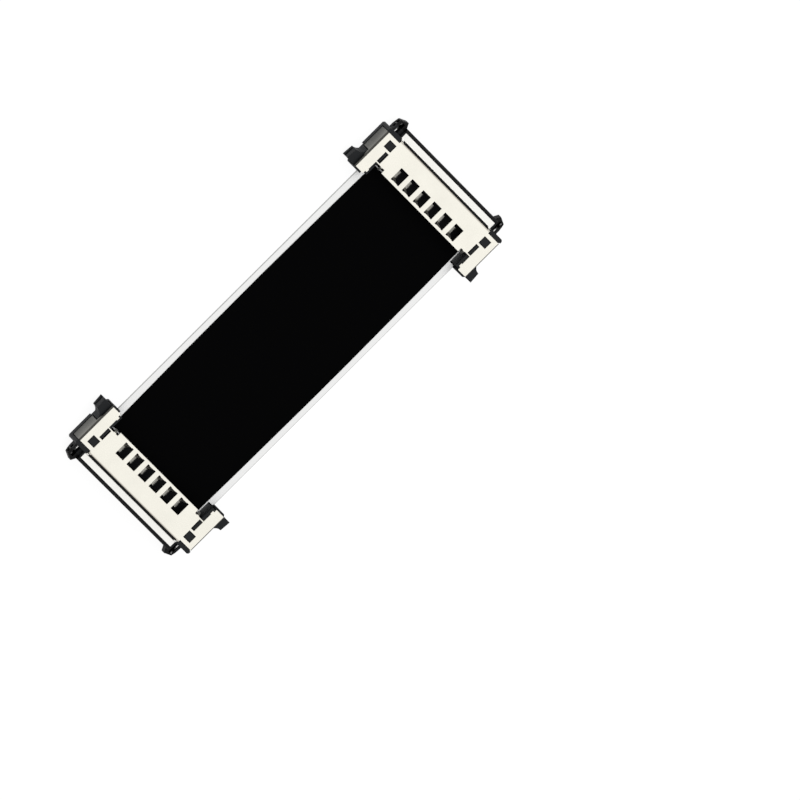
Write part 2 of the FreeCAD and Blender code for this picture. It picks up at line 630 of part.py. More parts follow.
def plug():
    """The pieces of one plug, facing +X with the front of its tongue at X = 0."""
    pieces = {
        "housing": housing(),
        "contacts": contacts(),
        "shell_cover": shell_cover(),
        "ground_plate": ground_plate(),
        "stiffener": stiffener(),
    }
    for name, side in (("left", 1), ("right", -1)):
        pieces["lock_spring_" + name] = lock_spring(side)
        pieces["release_button_" + name] = release_button(side)
    return pieces


def assembly():
    """Every node of the cable, by name."""
    strips = conductor_strips()
    nodes = {
        "film_bottom": film(FILM_BASE_S, FILM_Z, CONDUCTOR_Z),
        "film_top": film(RIBBON_S, CONDUCTOR_Z, FILM_TOP).cut(strips),
        "conductors": Part.makeCompound(strips),
        "black_tape": black_tape(),
    }
    place = Vector(HALF_LENGTH, 0, 0)
    for name, shape in plug().items():
        forward = shape.translated(place)
        backward = forward.copy()
        backward.rotate(Vector(0, 0, 0), Vector(0, 0, 1), 180)
        nodes[name + "_b"] = forward
        nodes[name + "_a"] = backward
    return nodes


os.makedirs("parts", exist_ok=True)
for node, shape in assembly().items():
    shape.exportStep("parts/" + node + ".step")
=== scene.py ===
"""The looks of a flat flex jumper cable with a locking plug at each end."""

import json
import math

import bmesh
import bpy
from bpy.props import FloatProperty, FloatVectorProperty, PointerProperty
from mathutils import Matrix, Vector


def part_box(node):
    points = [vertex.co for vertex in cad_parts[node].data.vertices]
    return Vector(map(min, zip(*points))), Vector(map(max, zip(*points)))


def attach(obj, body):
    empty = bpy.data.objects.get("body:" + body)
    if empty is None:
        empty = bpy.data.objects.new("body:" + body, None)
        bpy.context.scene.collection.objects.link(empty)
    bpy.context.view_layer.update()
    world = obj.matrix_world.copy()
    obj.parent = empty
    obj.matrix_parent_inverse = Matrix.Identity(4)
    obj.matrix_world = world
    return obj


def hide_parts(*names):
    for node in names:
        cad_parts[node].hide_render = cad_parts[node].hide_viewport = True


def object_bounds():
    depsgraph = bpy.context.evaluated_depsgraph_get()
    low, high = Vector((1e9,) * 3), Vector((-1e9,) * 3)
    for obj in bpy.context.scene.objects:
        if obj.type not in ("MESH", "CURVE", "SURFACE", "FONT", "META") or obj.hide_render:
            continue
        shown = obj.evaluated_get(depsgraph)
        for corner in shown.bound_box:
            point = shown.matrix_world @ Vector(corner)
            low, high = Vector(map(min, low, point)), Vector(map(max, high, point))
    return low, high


bl_info = {
    "name": "Flat flex cable",
    "version": (1, 0, 0),
    "blender": (4, 5, 0),
    "location": "View3D > Sidebar > Flex cable",
    "description": "Finishes the pieces of a flat flex cable and sets the stage around it",
    "category": "Object",
}

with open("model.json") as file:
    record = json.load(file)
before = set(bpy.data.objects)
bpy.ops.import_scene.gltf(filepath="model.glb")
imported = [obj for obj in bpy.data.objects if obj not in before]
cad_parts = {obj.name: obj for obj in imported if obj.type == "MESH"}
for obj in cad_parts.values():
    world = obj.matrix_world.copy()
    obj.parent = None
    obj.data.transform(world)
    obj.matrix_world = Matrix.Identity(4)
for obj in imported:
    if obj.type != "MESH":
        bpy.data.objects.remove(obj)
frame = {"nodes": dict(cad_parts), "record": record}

MM = 0.001
PER_MM = 1 / MM
MICROMETRE = 1e-6
PLUGS = ("a", "b")
SIDES = ("left", "right")

cad_low, cad_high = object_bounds()
ribbon_low, ribbon_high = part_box("film_bottom")
body_of_node = {
    node: body
    for body, nodes in frame["record"]["behaviour"]["bodies"].items()
    for node in nodes
}


# Settings that a user would change

def length(name, description, millimetres):
    """A length property that is written in millimetres and kept in metres."""
    return FloatProperty(name=name, description=description, default=millimetres * MM,
                         min=0.0, precision=6, unit="LENGTH")


def colour(name, description, value):
    """A colour property in linear light."""
    return FloatVectorProperty(name=name, description=description, default=value,
                               size=3, min=0.0, max=1.0, subtype="COLOR")


def angle(name, description, degrees):
    """An angle property that is written in degrees."""
    return FloatProperty(name=name, description=description, default=math.radians(degrees),
                         subtype="ANGLE")


def strength(name, description, value):
    """A property for the strength of a light."""
    return FloatProperty(name=name, description=description, default=value, min=0.0)


class CableEdges(bpy.types.PropertyGroup):
    """Radii of the small edges that moulding, stamping and plating leave."""
    housing: length("Housing edge", "Radius of the moulded edges of a housing", 0.04)
    button: length("Button edge", "Radius of the edges of a release button", 0.08)
    sheet: length("Sheet edge", "Radius of the edges of the stamped covers", 0.03)
    contact: length("Contact edge", "Radius of the edges of the contacts", 0.02)
    spring: length("Spring edge", "Radius of the edges of the lock springs", 0.03)
    tape: length("Tape edge", "Radius of the edges of the tape", 0.02)


class CableColours(bpy.types.PropertyGroup):
    """Colours of the finishes."""
    tin: colour("Tin", "Tin plate of the covers", (0.95, 0.925, 0.835))
    # The tongue cover is painted with this brighter tin
    tin_bright: colour("Bright tin", "Tin plate that a receptacle has wiped", (0.97, 0.96, 0.92))
    # Dull tin that also carries the painted shade on the side flanges and the spring fingers
    tin_dull_and_shade: colour("Dull tin", "Tin plate of the folded sides", (0.072, 0.072, 0.068))
    # Painted shade on the bends of the side flanges and on the cut edges of the top plate
    tin_bend_shade: colour("Bent tin", "Bends and cut edges of the sheet", (0.025, 0.024, 0.022))
    # Painted brownish shade on the tin just behind the slit
    tin_slit_shade: colour("Stained tin", "Tin plate behind the slit", (0.16, 0.115, 0.08))
    plastic: colour("Plastic", "Black moulding compound", (0.0070, 0.0078, 0.0088))
    # The front lip and the fronts of the posts are painted darker than the rest of the moulding
    lip: colour("Lip", "Compound of the front lip and the posts", (0.0008, 0.0008, 0.0009))
    gold: colour("Gold", "Gold plating of the contacts", (0.98, 0.82, 0.49))
    gold_worn: colour("Worn gold", "Gold that a receptacle has rubbed", (0.86, 0.68, 0.37))
    steel: colour("Spring steel", "Bare steel of the leaves", (0.80, 0.80, 0.78))
    # Painted shade on the claws of the lock springs
    claw_shade: colour("Claw", "Blackened steel of the claws", (0.015, 0.015, 0.016))
    tape: colour("Tape", "Black cloth tape", (0.0009, 0.0009, 0.0010))
    cover_film: colour("Cover film", "Clear film over white", (0.90, 0.90, 0.895))
    # Painted shade along the cut edge of the film
    film_edge_shade: colour("Film edge", "Cut edge of the film", (0.42, 0.42, 0.41))
    base_film: colour("Base film", "White film of the printed side", (0.90, 0.895, 0.89))
    field: colour("Printed field", "Pale field between the margins", (0.93, 0.83, 0.82))
    marks: colour("Printed marks", "Blue printed bars", (0.02, 0.15, 0.45))
    copper: colour("Conductor", "Tinned copper of the conductors", (0.76, 0.52, 0.40))
    stiffener: colour("Stiffener", "Strip under the spring fingers", (0.0025, 0.0025, 0.003))


class CablePrint(bpy.types.PropertyGroup):
    """Layout of the printed bars on the underside."""
    row_pitch: length("Row pitch", "Distance between two rows of bars", 2.86)
    row_height: length("Row height", "Height of a bar", 0.9)
    row_shift: length("Row shift", "How far each row is moved along the next", 4.83)
    repeat: length("Repeat", "Length after which a row repeats", 41.6)
    cell: length("Cell", "Pitch of the blocks that make up a bar", 0.83)
    field_half: length("Field", "Half width of the pale field", 11.9)


class CableView(bpy.types.PropertyGroup):
    """The camera of the photograph, by the turn of the cable as it sees it."""
    turn: angle("Turn", "Turn of the cable in the picture", 44.88)
    sway: angle("Sway", "Lean of the cable towards its end", 0.14)
    tilt: angle("Tilt", "Lean of the cable about its length", 28.71)
    distance: FloatProperty(name="Distance", description="From the lens to the cable",
                            default=4.0, min=0.1, unit="LENGTH")
    scale: FloatProperty(name="Scale", description="Pixels of the picture to a millimetre",
                         default=5.517, min=0.1)
    aim: FloatVectorProperty(name="Aim", description="Aim of the lens, right and up of the origin",
                             size=2, default=(21.37 * MM, -11.91 * MM), unit="LENGTH")


class CableLight(bpy.types.PropertyGroup):
    """The light on the stage."""
    zenith: strength("Zenith", "Strength of the sky overhead", 1.08)
    horizon: strength("Horizon", "Strength of the sky near the floor", 0.40)
    bounce: strength("Bounce", "Strength of the light from straight below", 1.2)
    key: strength("Key", "Power of the large lamp", 2.6)
    key_size: length("Key size", "Width of the large lamp", 700.0)
    floor_glow: FloatProperty(name="Floor glow", description="Share of the floor that stays white",
                              default=0.86, min=0.0, max=1.0)


# Shader maths

class Wire:
    """An output socket whose arithmetic adds Math nodes."""

    def __init__(self, finish, socket):
        self.finish = finish
        self.socket = socket

    def combined(self, operation, *others):
        """A Math node with this wire in its first socket."""
        return self.finish.math(operation, self, *others)

    def __add__(self, other):
        return self.combined("ADD", other)

    def __radd__(self, other):
        return self.combined("ADD", other)

    def __sub__(self, other):
        return self.combined("SUBTRACT", other)

    def __rsub__(self, other):
        return self.finish.math("SUBTRACT", other, self)

    def __mul__(self, other):
        return self.combined("MULTIPLY", other)

    def __rmul__(self, other):
        return self.combined("MULTIPLY", other)

    def __truediv__(self, other):
        return self.combined("DIVIDE", other)

    def __mod__(self, other):
        return self.combined("FLOORED_MODULO", other)

    def __lt__(self, other):
        return self.combined("LESS_THAN", other)

    def __gt__(self, other):
        return self.combined("GREATER_THAN", other)

    def __abs__(self):
        return self.combined("ABSOLUTE")

    def __neg__(self):
        return self.combined("MULTIPLY", -1.0)


class Finish:
    """The nodes of a material, or of the world."""

    # Sockets of a Mix node that mixes colours, which has several of the same name
    MIX_FACTOR, MIX_FIRST, MIX_SECOND, MIX_RESULT = 0, 6, 7, 2

    def __init__(self, owner, output="OutputMaterial"):
        owner.use_nodes = True
        self.owner = owner
        self.tree = owner.node_tree
        self.tree.nodes.clear()
        self.output = output

    def node(self, kind, settings=None, inputs=None):
        """A node of a kind, with its settings made first and its sockets filled after them."""
        made = self.tree.nodes.new("ShaderNode" + kind)
        for name, value in (settings or {}).items():
            setattr(made, name, value)
        for name, value in (inputs or {}).items():
            socket = made.inputs[name]
            if isinstance(value, Wire):
                self.tree.links.new(value.socket, socket)
            else:
                socket.default_value = value
        return made

    def out(self, node, name=0):
        """The wire from an output of a node."""
        return Wire(self, node.outputs[name])

    def made(self, *node):
        """The first output of a new node."""
        return self.out(self.node(*node))

    def math(self, operation, *values):
        """A Math node on numbers and wires."""
        return self.made("Math", {"operation": operation}, dict(enumerate(values)))

    def clamped(self, value):
        """A value kept from 0 to 1."""
        return self.made("Clamp", None, {"Value": value})

    def wave(self, phase):
        """A sine from 0 to 1."""
        return self.math("SINE", phase) * 0.5 + 0.5

    def place(self, stretch=(1, 1, 1)):
        """Object coordinates in millimetres, stretched along each axis."""
        place = self.out(self.node("TexCoord"), "Object")
        scale = Vector(stretch) * PER_MM
        return self.made("VectorMath", {"operation": "MULTIPLY"}, {0: place, 1: scale})

    def axes(self):
        """X, Y and Z of the place, in millimetres."""
        parts = self.node("SeparateXYZ", None, {0: self.place()})
        return [self.out(parts, name) for name in ("X", "Y", "Z")]

    def noise(self, per_mm, detail=2.0, stretch=(1, 1, 1)):
        """Noise with so many features to the millimetre, from 0 to 1."""
        inputs = {"Vector": self.place(stretch), "Scale": per_mm, "Detail": detail}
        return self.out(self.node("TexNoise", None, inputs), "Fac")

    def mixed(self, factor, first, second):
        """A colour between two others."""
        inputs = {self.MIX_FACTOR: factor, self.MIX_FIRST: opaque(first),
                  self.MIX_SECOND: opaque(second)}
        return self.out(self.node("Mix", {"data_type": "RGBA"}, inputs), self.MIX_RESULT)

    def mixed_shader(self, factor, first, second):
        """A shader between two others."""
        return self.made("MixShader", None, {0: factor, 1: first, 2: second})

    def bump(self, height, micrometres, strength):
        """A surface normal raised by a height from 0 to 1."""
        inputs = {"Height": height, "Distance": micrometres * MICROMETRE, "Strength": strength}
        return self.out(self.node("Bump", None, inputs), "Normal")

    def surface(self, constants, colour, roughness, normal):
        """The main shader: constants on its own sockets, and what varies linked to it."""
        varying = {"Base Color": colour, "Roughness": roughness, "Normal": normal}
        return self.shown(self.made("BsdfPrincipled", None, {**constants, **varying}))

    def shown(self, shader):
        """The material or world, with the shader as what it shows."""
        self.node(self.output, None, {"Surface": shader})
        return self.owner


def opaque(value):
    """A colour as a socket takes it."""
    return value if isinstance(value, Wire) else (*value, 1.0)


def scaled(value, factor, lift=0.0):
    """A colour made paler or darker."""
    return tuple(min(1.0, channel * factor + lift) for channel in value)


def new_finish(name):
    """The nodes of a new material."""
    return Finish(bpy.data.materials.new(name))


# Finishes

# Places where a finish changes, in millimetres from the middle of the cable or from the floor
FOLD_Y = 16.0                # the bend of the side flanges begins here
FOLD_Z = 3.75                # and ends here
FLANGE_LOW = 0.95            # foot of the side flanges
FINGER_LOW = 2.0             # the spring fingers lie between these levels
FINGER_HIGH = 3.88
CUT_HIGH = 4.05              # the cut edges of the top plate reach up to here
JOGGLE_X = 39.86             # the slit above the tongue begins here
TONGUE_X = 40.1              # the cover of the tongue begins here
TONGUE_Y = 13.02
CLAW_X = 40.9                # the claw of a lock spring begins here
LIP_X = 41.5                 # the front lip of the tongue begins here
FILM_EDGE_Y = 13.9           # the painted shade along the cut edge of the film begins here

# Other lengths, in millimetres
JOGGLE_RUN = 0.3             # width of the painted shade behind the slit
WINDOW_PITCH = 3.2
FINGER_MIDDLE = 0.42         # half width of the painted highlight along the middle of a finger
CONDUCTOR_PITCH = 0.5
PRINT_DEPTH = 0.01           # how far the print reaches up the cut edges

# Starts and ends of the bars in one repeat of a row, in millimetres
BARS = ((0.0, 4.1), (5.8, 9.1), (10.7, 14.9), (17.4, 21.5), (24.1, 27.4))

PIT_LEVEL = 0.66             # noise above this is a pit
PIT_CONTRAST = 9.0
WEAVE = 22.0                 # radians of the weave to a millimetre
BLOCK_SHARE = 0.68           # printed share of each cell of a bar


def tin_plate(colours):
    """Matt tin: rolled grain, clouds, pits; painted shade on the bends, cut edges, side flanges
    and fingers.
    """
    finish = new_finish("tin_plate")
    grain = finish.noise(per_mm=2.2, detail=4.0, stretch=(6.0, 0.6, 6.0))
    clouds = finish.noise(per_mm=0.22)
    pits = finish.clamped((finish.noise(per_mm=9.0, detail=1.0) - PIT_LEVEL) * PIT_CONTRAST)
    x, y, z = finish.axes()
    out, across = abs(x), abs(y)

    # Painted shade on the side flanges, darker towards their foot
    beside = across > FOLD_Y
    height = finish.clamped((z - FLANGE_LOW) / (FOLD_Z - FLANGE_LOW))
    folded = beside * (z < FOLD_Z) * (1.0 - height * height * 0.12)
    # Painted shade along the bends of the side flanges
    bend_shade = beside * (z > FOLD_Z) * (0.85 + grain * 0.15)

    inner = across < TONGUE_Y
    under_plate = inner * (out < TONGUE_X)
    # Painted shade on the spring fingers under the windows of the top plate
    finger_shade = (z > FINGER_LOW) * (z < FINGER_HIGH) * under_plate
    # Painted shade on the cut edges of the windows in the top plate
    cut = (z > FINGER_HIGH) * (z < CUT_HIGH) * under_plate
    # A streaked painted highlight along the middle of each finger
    streaks = finish.noise(per_mm=2.6, stretch=(0.5, 2.5, 0.5))
    off_middle = abs(y % WINDOW_PITCH - WINDOW_PITCH / 2)
    finger_highlight = (off_middle < FINGER_MIDDLE) * (0.3 + streaks * 0.6)

    # The tongue cover is painted brighter than the top plate
    brightened = (out > TONGUE_X) * inner
    # Painted brownish shade just behind the slit, deepening towards it
    behind_slit = finish.clamped((out - (JOGGLE_X - JOGGLE_RUN)) / JOGGLE_RUN)
    slit_shade = behind_slit * (out < JOGGLE_X) * inner

    clean = finish.mixed(brightened, colours.tin, colours.tin_bright)
    # Painted shade on the flanges and fingers, with the random tone of clouds, grain and pits
    shade_and_grain = finish.clamped(folded * 0.94 + finger_shade * (1.05 - finger_highlight) + clouds * 0.12
                          + grain * 0.08 + pits * 0.1 - 0.08)
    shaded_and_grained = finish.mixed(shade_and_grain, clean, colours.tin_dull_and_shade)
    with_slit_shade = finish.mixed(slit_shade * 0.75, shaded_and_grained, colours.tin_slit_shade)
    return finish.surface(
        {"Metallic": 0.95},
        # Painted shade on the bends and cut edges
        colour=finish.mixed(finish.clamped(bend_shade + cut * 0.9), with_slit_shade, colours.tin_bend_shade),
        roughness=0.32 + grain * 0.10 + clouds * 0.06,
        normal=finish.bump(grain + pits * 0.5, micrometres=1.5, strength=0.6),
    )


def moulded_plastic(name, colours, roughness):
    """Black moulding compound with the fine texture of an eroded tool."""
    finish = new_finish(name)
    texture = finish.noise(per_mm=14.0, detail=3.0)
    flow = finish.noise(per_mm=0.5, detail=3.0, stretch=(1.0, 0.4, 1.0))
    pale = scaled(colours.plastic, 2.2, lift=0.002)
    x, _, _ = finish.axes()
    body = finish.mixed(flow * 0.4 + texture * 0.3, colours.plastic, pale)
    return finish.surface(
        {"Metallic": 0.0, "IOR": 1.5, "Specular IOR Level": 0.16},
        # The front lip and the fronts of the posts are painted darker than the rest of the
        # moulding
        colour=finish.mixed((abs(x) > LIP_X) * 0.9, body, colours.lip),
        roughness=roughness + texture * 0.16 + flow * 0.06,
        normal=finish.bump(texture, micrometres=6.0, strength=0.8),
    )


def gold_plate(colours):
    """Gold plating, wiped along its length by the receptacle."""
    finish = new_finish("gold_plate")
    wipe = finish.noise(per_mm=1.6, detail=3.0, stretch=(0.5, 9.0, 1.0))
    spots = finish.noise(per_mm=0.7)
    return finish.surface(
        {"Metallic": 1.0},
        colour=finish.mixed(wipe * 0.7 + spots * 0.2, colours.gold, colours.gold_worn),
        roughness=0.22 + wipe * 0.16,
        normal=finish.bump(wipe, micrometres=1.0, strength=0.5),
    )


def spring_steel(colours):
    """Bright rolled steel with fine lines along the leaf, and painted shade on the claw."""
    finish = new_finish("spring_steel")
    lines = finish.noise(per_mm=3.0, detail=3.0, stretch=(0.3, 4.0, 8.0))
    x, _, _ = finish.axes()
    # Painted shade on the claw
    claw_shade = (abs(x) > CLAW_X) * (0.8 + lines * 0.2)
    leaf = finish.mixed(lines, colours.steel, scaled(colours.steel, 0.72))
    return finish.surface(
        {"Metallic": 1.0},
        colour=finish.mixed(claw_shade, leaf, colours.claw_shade),
        roughness=0.24 + lines * 0.16,
        normal=finish.bump(lines, micrometres=1.0, strength=0.5),
    )


def cloth_tape(colours):
    """Matt black tape with a fine plain weave."""
    finish = new_finish("cloth_tape")
    x, y, _ = finish.axes()
    weave = finish.math("SINE", x * WEAVE) * finish.math("SINE", y * WEAVE) * 0.5 + 0.5
    lint = finish.noise(per_mm=3.0, detail=4.0)
    worn = finish.clamped(lint * 0.6 + weave * 0.2)
    return finish.surface(
        {"Specular IOR Level": 0.012},
        colour=finish.mixed(worn, colours.tape, scaled(colours.tape, 2.4)),
        roughness=0.86 + lint * 0.1,
        normal=finish.bump(weave * 0.7 + lint * 0.3, micrometres=12.0, strength=0.5),
    )


def rolling_marks(finish):
    """Faint marks that rolling leaves along a film."""
    return finish.noise(per_mm=0.8, detail=3.0, stretch=(0.15, 3.0, 1.0))


def cover_film(colours):
    """Clear film on white, with faint rolling marks along it."""
    finish = new_finish("cover_film")
    rolled = rolling_marks(finish)
    haze = finish.noise(per_mm=0.4)
    _, y, _ = finish.axes()
    flat = finish.mixed(rolled * 0.6 + haze * 0.4, colours.cover_film,
                        scaled(colours.cover_film, 0.93))
    return finish.surface(
        {"IOR": 1.45, "Specular IOR Level": 0.3},
        # Painted shade along the cut edge of the film
        colour=finish.mixed((abs(y) > FILM_EDGE_Y) * 0.8, flat, colours.film_edge_shade),
        roughness=0.30 + rolled * 0.16,
        normal=finish.bump(rolled, micrometres=4.0, strength=0.5),
    )


def printed_bars(finish, layout):
    """A mask of plain printed bars in shifted rows."""
    x, y, _ = finish.axes()
    pitch = layout.row_pitch * PER_MM
    row = finish.math("FLOOR", y / pitch)
    height = abs(y - (row + 0.5) * pitch)
    in_row = height < layout.row_height * PER_MM / 2
    along = (x + row * (layout.row_shift * PER_MM)) % (layout.repeat * PER_MM)
    in_bar = sum((along > start) * (along < end) for start, end in BARS)
    cell = layout.cell * PER_MM
    in_block = along % cell < cell * BLOCK_SHARE
    return in_row * in_bar * in_block


def base_film(colours, layout):
    """White film whose printed side has a pale field, faint conductor lines and blue bars."""
    finish = new_finish("base_film")
    _, y, z = finish.axes()
    printed_side = z < ribbon_low.z * PER_MM + PRINT_DEPTH
    field = printed_side * (abs(y) < layout.field_half * PER_MM)
    lines = finish.wave(y * (2 * math.pi / CONDUCTOR_PITCH))
    haze = finish.noise(per_mm=0.3)
    rolled = rolling_marks(finish)
    ground = finish.mixed(field * (0.82 + haze * 0.18), colours.base_film, colours.field)
    lined = finish.mixed(field * lines * 0.35, ground, scaled(colours.field, 0.93))
    marks = printed_side * printed_bars(finish, layout) * (0.86 + haze * 0.12)
    return finish.surface(
        {"IOR": 1.45, "Specular IOR Level": 0.4},
        colour=finish.mixed(marks, lined, colours.marks),
        roughness=0.34 + rolled * 0.14,
        normal=finish.bump(lines * 0.7 + rolled * 0.3, micrometres=5.0, strength=0.5),
    )


def tinned_copper(colours):
    """Flat copper conductor with a thin coat of tin."""
    finish = new_finish("tinned_copper")
    coat = finish.noise(per_mm=1.2, detail=3.0, stretch=(0.4, 3.0, 1.0))
    return finish.surface(
        {"Metallic": 1.0},
        colour=finish.mixed(coat, colours.copper, scaled(colours.copper, 1.15)),
        roughness=0.26 + coat * 0.18,
        normal=finish.bump(coat, micrometres=1.5, strength=0.5),
    )


def backing_strip(colours):
    """Matt black polyester strip."""
    finish = new_finish("backing_strip")
    lint = finish.noise(per_mm=5.0, detail=3.0)
    return finish.surface(
        {"Specular IOR Level": 0.08},
        colour=finish.mixed(lint, colours.stiffener, scaled(colours.stiffener, 2.0)),
        roughness=0.55 + lint * 0.15,
        normal=finish.bump(lint, micrometres=3.0, strength=0.5),
    )


# Pieces

SHARP_ANGLE = math.radians(35)       # edges that turn more than this are rounded
SMOOTH_ANGLE = math.radians(30)      # edges that turn less than this are shaded smooth
FLAT_ANGLE = math.radians(0.5)       # faces that meet at less than this become one
STRAIGHT_ON = math.radians(150)      # an edge that goes on like this needs no room
ROOM_TO_RADIUS = 2.2                 # room that an edge needs, in radii
MERGE_DISTANCE = 0.0005              # millimetres between corners that become one
TOUCH = 0.01                         # millimetres between faces that touch
FLAT_WEIGHT = 100                    # how much large faces keep their own normals


def select_only(piece):
    """Selects one object, and no other, and makes it the active one."""
    bpy.ops.object.select_all(action="DESELECT")
    piece.select_set(True)
    bpy.context.view_layer.objects.active = piece


def from_point(point, edge):
    """Distance from a point to an edge."""
    start, end = (vert.co for vert in edge.verts)
    share = (point - start).dot(end - start) / (end - start).length_squared
    return (point - start.lerp(end, max(0.0, min(1.0, share)))).length


def apart(first, second):
    """Distance between two edges of one face."""
    return min([from_point(vert.co, second) for vert in first.verts]
               + [from_point(vert.co, first) for vert in second.verts])


def has_room(edge, sharp, room):
    """Whether an edge can be rounded without running into those around it."""
    def needed(other):
        """Room up to another edge: half where that one stays as it is."""
        return room if other in sharp else room / 2

    if edge.calc_length() < room:
        return False
    for vert in edge.verts:
        along = edge.other_vert(vert).co - vert.co
        for other in vert.link_edges:
            if other is edge or not set(other.link_faces) & set(edge.link_faces):
                continue
            out = other.other_vert(vert).co - vert.co
            turn = along.angle(out)
            if other in sharp and turn > STRAIGHT_ON:
                continue
            if out.length * math.sin(turn) < needed(other):
                return False
    beside = {other for face in edge.link_faces for other in face.edges
              if not set(other.verts) & set(edge.verts)}
    return all(apart(edge, other) > needed(other) for other in beside)


def under_ribbon(edge):
    """Whether the ribbon lies on an edge."""
    return all(abs(vert.co.z - ribbon_low.z * PER_MM) < TOUCH
               and abs(vert.co.x) < ribbon_high.x * PER_MM
               and abs(vert.co.y) < ribbon_high.y * PER_MM for vert in edge.verts)


def select_edges_to_round(mesh, radius):
    """Selects the sharp edges that have room, apart from those that the ribbon covers."""
    shape = bmesh.from_edit_mesh(mesh)
    sharp = {edge for edge in shape.edges
             if len(edge.link_faces) == 2 and edge.calc_face_angle() > SHARP_ANGLE}
    for edge in sharp:
        if not under_ribbon(edge) and has_room(edge, sharp, ROOM_TO_RADIUS * radius):
            edge.select_set(True)
    bmesh.update_edit_mesh(mesh)


def round_edges(mesh, radius, segments):
    """Merges the facets of the active object's flat faces and rounds its edges, in millimetres."""
    bpy.ops.object.mode_set(mode="EDIT")
    bpy.ops.mesh.select_all(action="SELECT")
    bpy.ops.mesh.remove_doubles(threshold=MERGE_DISTANCE)
    bpy.ops.mesh.dissolve_limited(angle_limit=FLAT_ANGLE)
    bpy.ops.mesh.delete_loose()
    bpy.ops.mesh.select_mode(type="EDGE")
    bpy.ops.mesh.select_all(action="DESELECT")
    select_edges_to_round(mesh, radius)
    bpy.ops.mesh.bevel(offset=radius, segments=segments, affect="EDGES", clamp_overlap=False)
    bpy.ops.object.mode_set(mode="OBJECT")


def shade_smoothly(piece):
    """Shades the roundings of the active object smoothly and keeps its flat faces flat."""
    bpy.ops.object.shade_smooth_by_angle(angle=SMOOTH_ANGLE)
    flatten = piece.modifiers.new("Flat faces", "WEIGHTED_NORMAL")
    flatten.weight = FLAT_WEIGHT
    flatten.keep_sharp = True
    bpy.ops.object.modifier_apply(modifier=flatten.name)


def paint(piece, material):
    """Gives an object one material."""
    piece.data.materials.clear()
    piece.data.materials.append(material)


def paint_node(node, material):
    """Gives a node that keeps its own mesh its material."""
    paint(frame["nodes"][node], material)


def make_rounded_copy(node, radius, material, segments=2):
    """Replaces a node by a merged copy of its mesh with rounded edges, on the same body."""
    select_only(frame["nodes"][node])
    bpy.ops.object.duplicate()
    piece = bpy.context.object
    piece.name = node + "_finished"
    for key in list(piece.keys()):
        del piece[key]
    piece.parent = None
    piece.data.transform(Matrix.Scale(PER_MM, 4))
    round_edges(piece.data, radius * PER_MM, segments)
    piece.data.transform(Matrix.Scale(MM, 4))
    shade_smoothly(piece)
    paint(piece, material)
    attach(piece, body_of_node[node])
    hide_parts(node)


class CableOperator(bpy.types.Operator):
    """What the operators of the cable share."""
    bl_options = {"REGISTER", "UNDO"}


class CABLE_OT_housings(CableOperator):
    """Round and finish the moulded housings"""
    bl_idname = "cable.housings"
    bl_label = "Housings"

    def execute(self, context):
        edges = context.scene.cable_edges
        plastic = moulded_plastic("housing_plastic", context.scene.cable_colours, roughness=0.40)
        for plug in PLUGS:
            make_rounded_copy("housing_" + plug, edges.housing, plastic)
        return {"FINISHED"}


class CABLE_OT_covers(CableOperator):
    """Round and finish the stamped shell covers and ground plates"""
    bl_idname = "cable.covers"
    bl_label = "Covers and ground plates"

    def execute(self, context):
        edges = context.scene.cable_edges
        tin = tin_plate(context.scene.cable_colours)
        for plug in PLUGS:
            make_rounded_copy("shell_cover_" + plug, edges.sheet, tin)
            make_rounded_copy("ground_plate_" + plug, edges.sheet, tin)
        return {"FINISHED"}


class CABLE_OT_contacts(CableOperator):
    """Round and plate the contacts"""
    bl_idname = "cable.contacts"
    bl_label = "Contacts"

    def execute(self, context):
        edges = context.scene.cable_edges
        gold = gold_plate(context.scene.cable_colours)
        for plug in PLUGS:
            make_rounded_copy("contacts_" + plug, edges.contact, gold, segments=1)
        return {"FINISHED"}


class CABLE_OT_latches(CableOperator):
    """Round and finish the lock springs and release buttons"""
    bl_idname = "cable.latches"
    bl_label = "Latches"

    def execute(self, context):
        edges = context.scene.cable_edges
        colours = context.scene.cable_colours
        steel = spring_steel(colours)
        plastic = moulded_plastic("button_plastic", colours, roughness=0.46)
        for plug in PLUGS:
            for side in SIDES:
                ending = side + "_" + plug
                make_rounded_copy("lock_spring_" + ending, edges.spring, steel)
                make_rounded_copy("release_button_" + ending, edges.button, plastic, segments=3)
        return {"FINISHED"}


class CABLE_OT_ribbon(CableOperator):
    """Finish the films, conductors, tape and stiffeners"""
    bl_idname = "cable.ribbon"
    bl_label = "Ribbon"

    def execute(self, context):
        scene = context.scene
        colours = scene.cable_colours
        paint_node("film_top", cover_film(colours))
        paint_node("film_bottom", base_film(colours, scene.cable_print))
        paint_node("conductors", tinned_copper(colours))
        make_rounded_copy("black_tape", scene.cable_edges.tape, cloth_tape(colours))
        backing = backing_strip(colours)
        for plug in PLUGS:
            paint_node("stiffener_" + plug, backing)
        return {"FINISHED"}


# Stage

WHITE = (1.0, 1.0, 1.0)
FLOOR_WHITE = (0.92, 0.92, 0.92)
FLOOR_STRENGTH = 1.06                # of the steady white
FLOOR_SIZE = 4.0
FLOOR_DROP = 0.01 * MM               # keeps the floor just clear of the plugs
KEY_PLACE = Vector((0.8, -0.15, 0.75))
PHOTO_SIDE = 800                     # pixels
SENSOR_WIDTH = 36.0                  # millimetres
CLIP_SPAN = 10                       # the lens sees from its distance / 10 to its distance * 10


